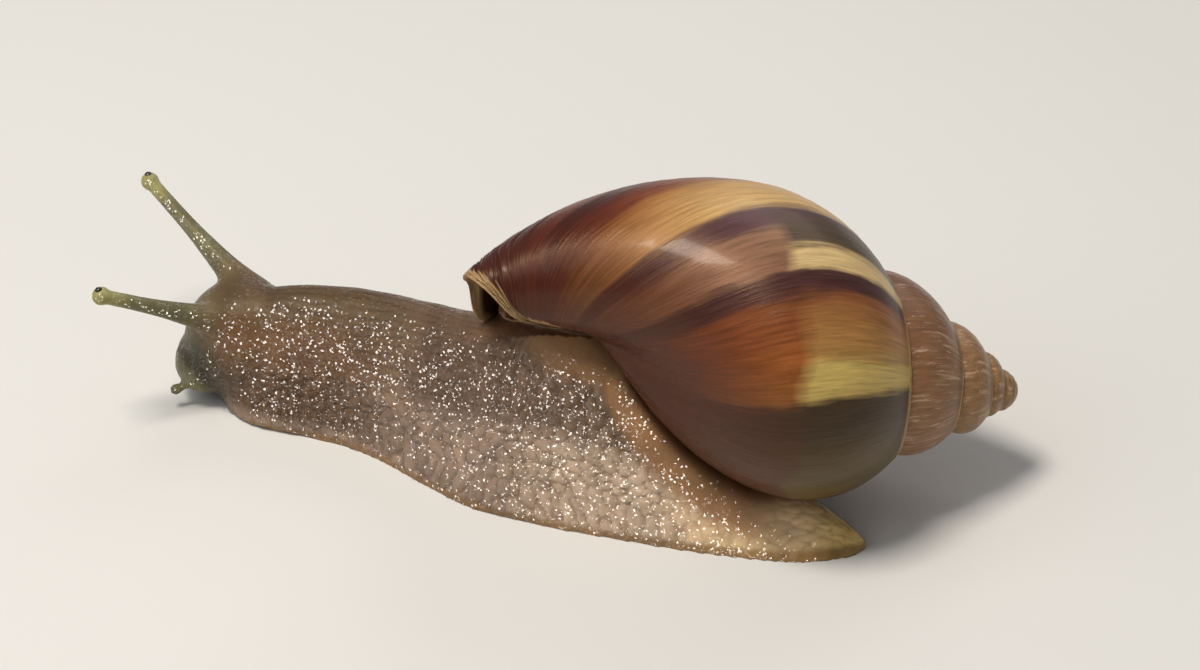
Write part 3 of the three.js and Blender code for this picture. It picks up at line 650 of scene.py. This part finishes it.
# The lumps are merged into one surface, its steps are smoothed out, and its corners are filled.
starts = np.cumsum([0] + [len(points) for points, _ in lumps])[:-1]
rough = put_mesh("rough_skin", np.concatenate([points for points, _ in lumps]),
                 np.concatenate([faces + start for (_, faces), start in zip(lumps, starts)]), horn)
merge = rough.modifiers.new("merge", "REMESH")
merge.mode = "VOXEL"
merge.voxel_size = SKIN_VOXEL * MM
merged = rough.evaluated_get(bpy.context.evaluated_depsgraph_get()).to_mesh()
skin = np.empty(3 * len(merged.vertices))
merged.vertices.foreach_get("co", skin)
skin = skin.reshape(-1, 3) / MM
edges = np.empty(2 * len(merged.edges), int)
merged.edges.foreach_get("vertices", edges)
edges = edges.reshape(-1, 2)
corners = np.empty(len(merged.loops), int)
merged.loops.foreach_get("vertex_index", corners)
skin_faces = corners.reshape(-1, 4)
bpy.data.objects.remove(rough)

neighbours = np.bincount(edges.ravel(), minlength=len(skin))[:, None]


def relaxed(values, weight=1.0, times=1):
    """Each point's value moved towards the mean of its neighbours."""
    for _ in range(times):
        total = np.stack([
            np.bincount(edges[:, 0], v[edges[:, 1]], len(skin))
            + np.bincount(edges[:, 1], v[edges[:, 0]], len(skin)) for v in values.T], -1)
        values = values + weight * (total / neighbours - values)
    return values


def facing(points):
    """Unit normals at the points: the mean of the normals of the faces round each."""
    a, b, c, d = (points[skin_faces[:, k]] for k in range(4))
    across = np.cross(c - a, d - b)
    total = np.stack([np.bincount(skin_faces.ravel(), np.repeat(across[:, k], 4), len(points))
                      for k in range(3)], -1)
    return total / np.linalg.norm(total, axis=1, keepdims=True)


on_sole = 1 - ramp(skin[:, 2], 0.05, 0.5)
for _ in range(10):
    skin = relaxed(skin, 0.55)
    skin = relaxed(skin, -0.57)
# Corners between head, neck and tentacle roots are filled more than the rest.
head_near = 1 - ramp(np.linalg.norm(skin - HEAD_CENTRE, axis=1), 11.5, 15.0)
stem = np.min([np.linalg.norm(skin - tip, axis=1) / np.linalg.norm(root - tip)
               for root, tip in list(UPPER_TENTACLES.values()) + lower_tentacles], axis=0)
head_near = (head_near * ramp(stem, 0.55, 0.95))[:, None]
for _ in range(40):
    skin = skin + head_near * (relaxed(skin, 0.6) - skin)
skin[:, 2] = np.where(skin[:, 2] < 0.1, 0.0, skin[:, 2])


def worley(u, v, seed):
    """Distances from (u, v) to the two nearest of one random point per unit square, and a random
    number that belongs to the nearest."""
    chance = np.random.default_rng(seed).random((3, 256, 256))
    iu, iv = np.floor(u).astype(int), np.floor(v).astype(int)
    first = np.full(u.shape, 9.0)
    second = first.copy()
    own = np.zeros(u.shape)
    for du in (-1, 0, 1):
        for dv in (-1, 0, 1):
            at = ((iu + du) % 256, (iv + dv) % 256)
            away = np.hypot(iu + du + 0.1 + 0.8 * chance[0][at] - u,
                            iv + dv + 0.1 + 0.8 * chance[1][at] - v)
            nearer = away < first
            second = np.where(nearer, first, np.minimum(second, away))
            own = np.where(nearer, chance[2][at], own)
            first = np.where(nearer, away, first)
    return first, second, own


def ripples(u, v, lengths, seed):
    """Sum of plane waves of the given lengths in random directions, within about -1 to 1."""
    chance = np.random.default_rng(seed)
    total = 0
    for length in lengths:
        turn, phase = chance.uniform(0, 2 * math.pi, 2)
        total = total + np.sin(2 * math.pi * (u * math.cos(turn) + v * math.sin(turn)) / length
                               + phase)
    return total / math.sqrt(len(lengths))


# Where each point is on the body: along it, and round it from the middle of the back; and how far
# it is from the last whorl of the shell.
x, y, z = skin.T
middle, _, _, height = stations(x).T
round_body = np.arctan2(y - middle, z - 0.3 * height) * 9.0
from_back = np.abs(round_body)
sway = 0.45 * ripples(x, round_body, [6.3, 10.1, 15.7], 21)
wobble = 0.16 * ripples(x, round_body, [1.5, 1.9, 2.4, 3.1], 22)
wobble_across = 0.16 * ripples(x, round_body, [1.4, 2.0, 2.6, 3.3], 23)
from_apex = skin - APEX
off_axis = np.stack([from_apex @ shell_right, from_apex @ shell_above])
behind = (np.arctan2(off_axis[1], off_axis[0]) - LIP_ANGLE) / (2 * math.pi) % 1
ahead = from_apex @ shell_ahead
from_shell = np.hypot(*off_axis) - outline(behind, ahead)
suture = suture_height(behind)
w_there = np.clip((ahead - suture) / (base_height(behind) - suture), 0, 1)
in_mouth = ramp(behind - swept_back(w_there, np.zeros(len(x))), 0.0, 0.02)

# Neck: long folds. Sides: pebbles. Above the fringe: tall cells in upright rows. Tail: slanting
# shallow cells. Sizes in mm, and those of cells along the body and round it.
FOLD_SPACING = 0.75
PEBBLE_SIZE = (1.75, 1.65)
UPRIGHT_SIZE = (1.6, 3.6)
SLANT_SIZE = (2.0, 3.0)
fold_at = (round_body + sway + 0.5 * wobble_across) / FOLD_SPACING
fold_edge = 2 * np.minimum(fold_at % 1, 1 - fold_at % 1)
pebble_near, pebble_next, pebble_own = worley(
    (x + sway + wobble) / PEBBLE_SIZE[0] + 57,
    (round_body - 0.6 * sway + wobble_across) / PEBBLE_SIZE[1] + 57, 57)
upright_near, upright_next, upright_own = worley(
    (x + sway + wobble) / UPRIGHT_SIZE[0] + 83,
    (round_body + wobble_across) / UPRIGHT_SIZE[1] + 83, 83)
slant_near, slant_next, slant_own = worley(
    (x + 0.55 * from_back + wobble) / SLANT_SIZE[0] + 101,
    (from_back - 0.5 * x + wobble_across) / SLANT_SIZE[1] + 101, 101)

tail = ramp(x, 14, 26)
under_shell = ((1 - ramp(from_shell, 4.5, 7.0)) * (1 - ramp(ahead, 55, 61))
               * (1 - ramp(x, 24, 32)))
head = 1 - ramp(x, -41.0, -32.0)
stem_share = 1 - ramp(stem, 0.55, 1.0)
fringe = 1 - ramp(z, 0.6, 1.3)
upright = (1 - ramp(z + 0.6 * sway, 3.4, 5.0)) * (1 - tail)
folded = (1 - ramp(from_back + sway, 8.0, 10.0)) * (1 - ramp(x, -9.0, -2.0))
pebbled = (1 - folded) * (1 - upright) * (1 - tail)
bare = (1 - fringe) * (1 - under_shell) * (1 - 0.85 * head) * (1 - stem_share)


def pebble(near, following, edge):
    """A rounded cell: low in the crease to its neighbour, level from edge inwards, and a low
    crown in the middle."""
    return 0.75 * np.sqrt(ramp(following - near, -edge, edge) * 2 - 1) + 0.25 * (1 - near ** 2)


def crease(near, following, width):
    """1 in the crease between two cells, 0 from width away."""
    return 1 - ramp(following - near, 0.0, width)


fold_depth = 0.95 + 0.35 * ripples(x, round_body, [3.1, 4.7, 7.9], 24)
groove = bare * (folded * fold_depth * (1 - ramp(fold_edge, 0.0, 0.45))
                 + pebbled * crease(pebble_near, pebble_next, 0.20)
                 + upright * crease(upright_near, upright_next, 0.22)
                 + 0.6 * tail * crease(slant_near, slant_next, 0.24))
dome = bare * (0.10 * folded * fold_depth * np.sqrt(ramp(fold_edge, -0.6, 0.6) * 2 - 1)
               + 0.44 * pebbled * pebble(pebble_near, pebble_next, 0.55)
               + 0.44 * upright * pebble(upright_near, upright_next, 0.55)
               + 0.18 * tail * pebble(slant_near, slant_next, 0.55))
# The sole's edge is gently scalloped.
scallop = fringe * (1 - on_sole) * (0.08 * waves(x, [2.9, 4.3, 1.7], 11))
skin_facing = facing(skin)
lift = (dome - 0.22 * bare + scallop) * (1 - on_sole)
skin = skin + skin_facing * lift[:, None]
skin[:, 2] = np.maximum(skin[:, 2], 0)
# How light each cell is: its own lightness, and less towards its edge, painted shading of the domed
# cell.
crown = 0.5 + 0.5 * bare * (
    pebbled * (pebble_own - 0.9 * pebble_near ** 2)
    + upright * (upright_own - 0.9 * upright_near ** 2)
    + tail * (slant_own - 0.9 * slant_near ** 2))


# Tones of the regions, each a colour laid over the last where its region is.
def laid_over(base, hex_colour, share):
    """The colours in base mixed towards hex_colour by each point's share."""
    return base + share[:, None] * (np.array(linear(hex_colour)) - base)


tone = np.broadcast_to(linear("#947c68"), (len(skin), 4)).copy()  # flank
tone = laid_over(tone, "#c3aa90", ramp(x, -6, 12))  # rear flank
tone = laid_over(tone, "#5b4026", (1 - ramp(x, -28, -10)) * ramp(z, 1.0, 3.0))  # fore body
tone = laid_over(tone, "#5f492f", (1 - ramp(x, -26, -8)) * (1 - ramp(from_back, 5, 9)))  # neck
tone = laid_over(tone, "#7c5836", (1 - ramp(x, -36, -8)) * ramp(from_back, 1, 6)
                 * (1 - ramp(from_back, 6, 13)) * 0.8)  # sides of the neck
# Painted shade: the shell's shadow on the top of the neck near the shell.
tone = laid_over(tone, "#563c26",
                 0.8 * (1 - ramp(from_back, 7, 11)) * ramp(x, -20, -13))  # neck near the shell
# The tail and its tip are paler: their own colour, made lighter still as painted light where the
# shell's shadow falls on the tail.
tone = laid_over(tone, "#d6b88c", tail)
tone = laid_over(tone, "#d2b26e", ramp(x, 30, 37))  # tip of the tail
tone = laid_over(tone, "#9c7550", under_shell)
# Painted shade in the narrow gap along the shell's edge.
tone = laid_over(tone, "#4a2a14", under_shell * (1 - ramp(from_shell, 0.3, 2.6)))  # at the shell
tone = laid_over(tone, "#8a6638", fringe * 0.85)
# Painted shade on the front of the head.
tone = laid_over(tone, "#2f280e", (1 - ramp(x, -43.0, -37.0)) * (1 - ramp(z, 8, 13)))  # face
tone = laid_over(tone, "#706a48", stem_share)
near_tip = np.min([np.linalg.norm(skin - tip, axis=1) for _, tip in UPPER_TENTACLES.values()],
                  axis=0)
tone = laid_over(tone, "#9c965c", 1 - ramp(near_tip, 1.2, 4.0))  # bulbs
tone = laid_over(tone, "#6b4a2e", in_mouth * (1 - ramp(from_shell, -1.2, -0.3)))  # mantle collar

# Wet skin over muscle: water-clear mucus (IOR 1.35) on soft, slightly see-through flesh, darker in
# the creases, partly their own brown and partly painted shade, with grains about 0.2 mm across
# whose wet tops each catch the light.
wet_skin, tree = new_material("wet_skin")
tone_in = add(tree, "ShaderNodeAttribute", attribute_name="tone")
crease_in = add(tree, "ShaderNodeAttribute", attribute_name="crease")
crown_in = add(tree, "ShaderNodeAttribute", attribute_name="crown")
place = add(tree, "ShaderNodeTexCoord")
beads = add(tree, "ShaderNodeTexVoronoi", {"Vector": place.outputs["Object"], "Scale": 4600.0})
bead_tilt = add(tree, "ShaderNodeVectorMath", {0: beads.outputs["Color"], 1: (0.5, 0.5, 0.1)},
                operation="SUBTRACT")
bead_facing = add(tree, "ShaderNodeVectorMath", {0: place.outputs["Normal"],
                                                 1: bead_tilt.outputs[0]}, operation="ADD")
bead_facing = add(tree, "ShaderNodeVectorMath", {0: bead_facing.outputs[0], 1: (0.0, 0.0, 0.52)},
                  operation="ADD")
bead_facing = add(tree, "ShaderNodeVectorMath", {0: bead_facing.outputs[0]},
                  operation="NORMALIZE")
soft = add(tree, "ShaderNodeTexNoise", {"Vector": place.outputs["Object"], "Scale": 260.0,
                                        "Detail": 4.0})
mottle = add(tree, "ShaderNodeMapRange", {0: soft.outputs[0], 1: 0.3, 2: 0.7, 3: 0.80, 4: 1.18})
# Each cell's lightness, with painted shading darker towards its edge.
cell_tone = add(tree, "ShaderNodeMapRange", {0: crown_in.outputs["Fac"], 1: 0.0, 2: 1.0, 3: 0.74,
                                             4: 1.26})
tone_by = add(tree, "ShaderNodeMath", {0: mottle.outputs[0], 1: cell_tone.outputs[0]},
              operation="MULTIPLY")
mottled = add(tree, "ShaderNodeVectorMath", {0: tone_in.outputs["Color"], 1: tone_by.outputs[0]},
              operation="MULTIPLY")
# Colour in the creases: darker brown, partly the skin's own and partly painted shade in the
# grooves.
dark = add(tree, "ShaderNodeVectorMath", {0: mottled.outputs[0], 1: (0.66, 0.58, 0.52)},
           operation="MULTIPLY")
creased = add(tree, "ShaderNodeMix", {0: crease_in.outputs["Fac"], 6: mottled.outputs[0],
                                      7: dark.outputs[0]}, data_type="RGBA")
skin_high = add(tree, "ShaderNodeBump", {"Height": soft.outputs[0], "Strength": 0.5,
                                         "Distance": 0.25 * MM})
surface = add(tree, "ShaderNodeBsdfPrincipled", {
    "Base Color": creased.outputs[2], "Roughness": 0.45, "IOR": 1.35,
    "Specular Tint": (1.0, 0.85, 0.65, 1.0),
    "Subsurface Weight": 0.2, "Subsurface Radius": (1.0, 0.5, 0.3), "Subsurface Scale": 0.7 * MM,
    "Coat Weight": 0.8, "Coat Roughness": 0.15, "Coat IOR": 1.5,
    "Normal": skin_high.outputs[0], "Coat Normal": bead_facing.outputs[0]})
add(tree, "ShaderNodeOutputMaterial", {"Surface": surface.outputs[0]})

skin_piece = put_mesh("snail_skin", skin, skin_faces, wet_skin)
for name, values in [("crease", np.clip(groove, 0, 1)), ("crown", crown)]:
    layer = skin_piece.data.attributes.new(name, "FLOAT", "POINT")
    layer.data.foreach_set("value", values)
layer = skin_piece.data.attributes.new("tone", "FLOAT_COLOR", "POINT")
layer.data.foreach_set("color", tone.ravel())
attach(skin_piece, "root")
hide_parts("foot", "tail", "back", "neck", "head", "lips", "mantle",
            "upper_tentacle_left_base", "upper_tentacle_left_tip", "upper_tentacle_right_base",
            "upper_tentacle_right_tip", "lower_tentacle_left", "lower_tentacle_right")


# ---- Eyes -------------------------------------------------------------------------------------
# A black ball 1 mm across on the upper side of each bulb of the real animal, behind clear skin. It
# is set into the bulb, so that its glossy top shows.

eye_black, tree = new_material("eye_lens")
surface = add(tree, "ShaderNodeBsdfPrincipled", {
    "Base Color": linear("#16110d"), "Roughness": 0.08, "IOR": 1.40, "Coat Weight": 0.8,
    "Coat Roughness": 0.03})
add(tree, "ShaderNodeOutputMaterial", {"Surface": surface.outputs[0]})
for side, (root, tip) in UPPER_TENTACLES.items():
    look = 0.35 * (tip - root) / np.linalg.norm(tip - root) + 0.95 * head_up
    centre = tip + look / np.linalg.norm(look) * (BULB - EYE_SUNK * EYE_RADIUS)
    polar = np.linspace(0.05, np.pi - 0.05, 20)[:, None]
    around = np.linspace(0, 2 * np.pi, 33)[:-1]
    ball = EYE_RADIUS * np.stack([np.sin(polar) * np.cos(around), np.sin(polar) * np.sin(around),
                                  np.cos(polar) + 0 * around], -1)
    eye = put_mesh(f"eye_ball_{side}", *tube(centre + ball), eye_black)
    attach(eye, "root")
    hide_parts(f"eye_{side}")
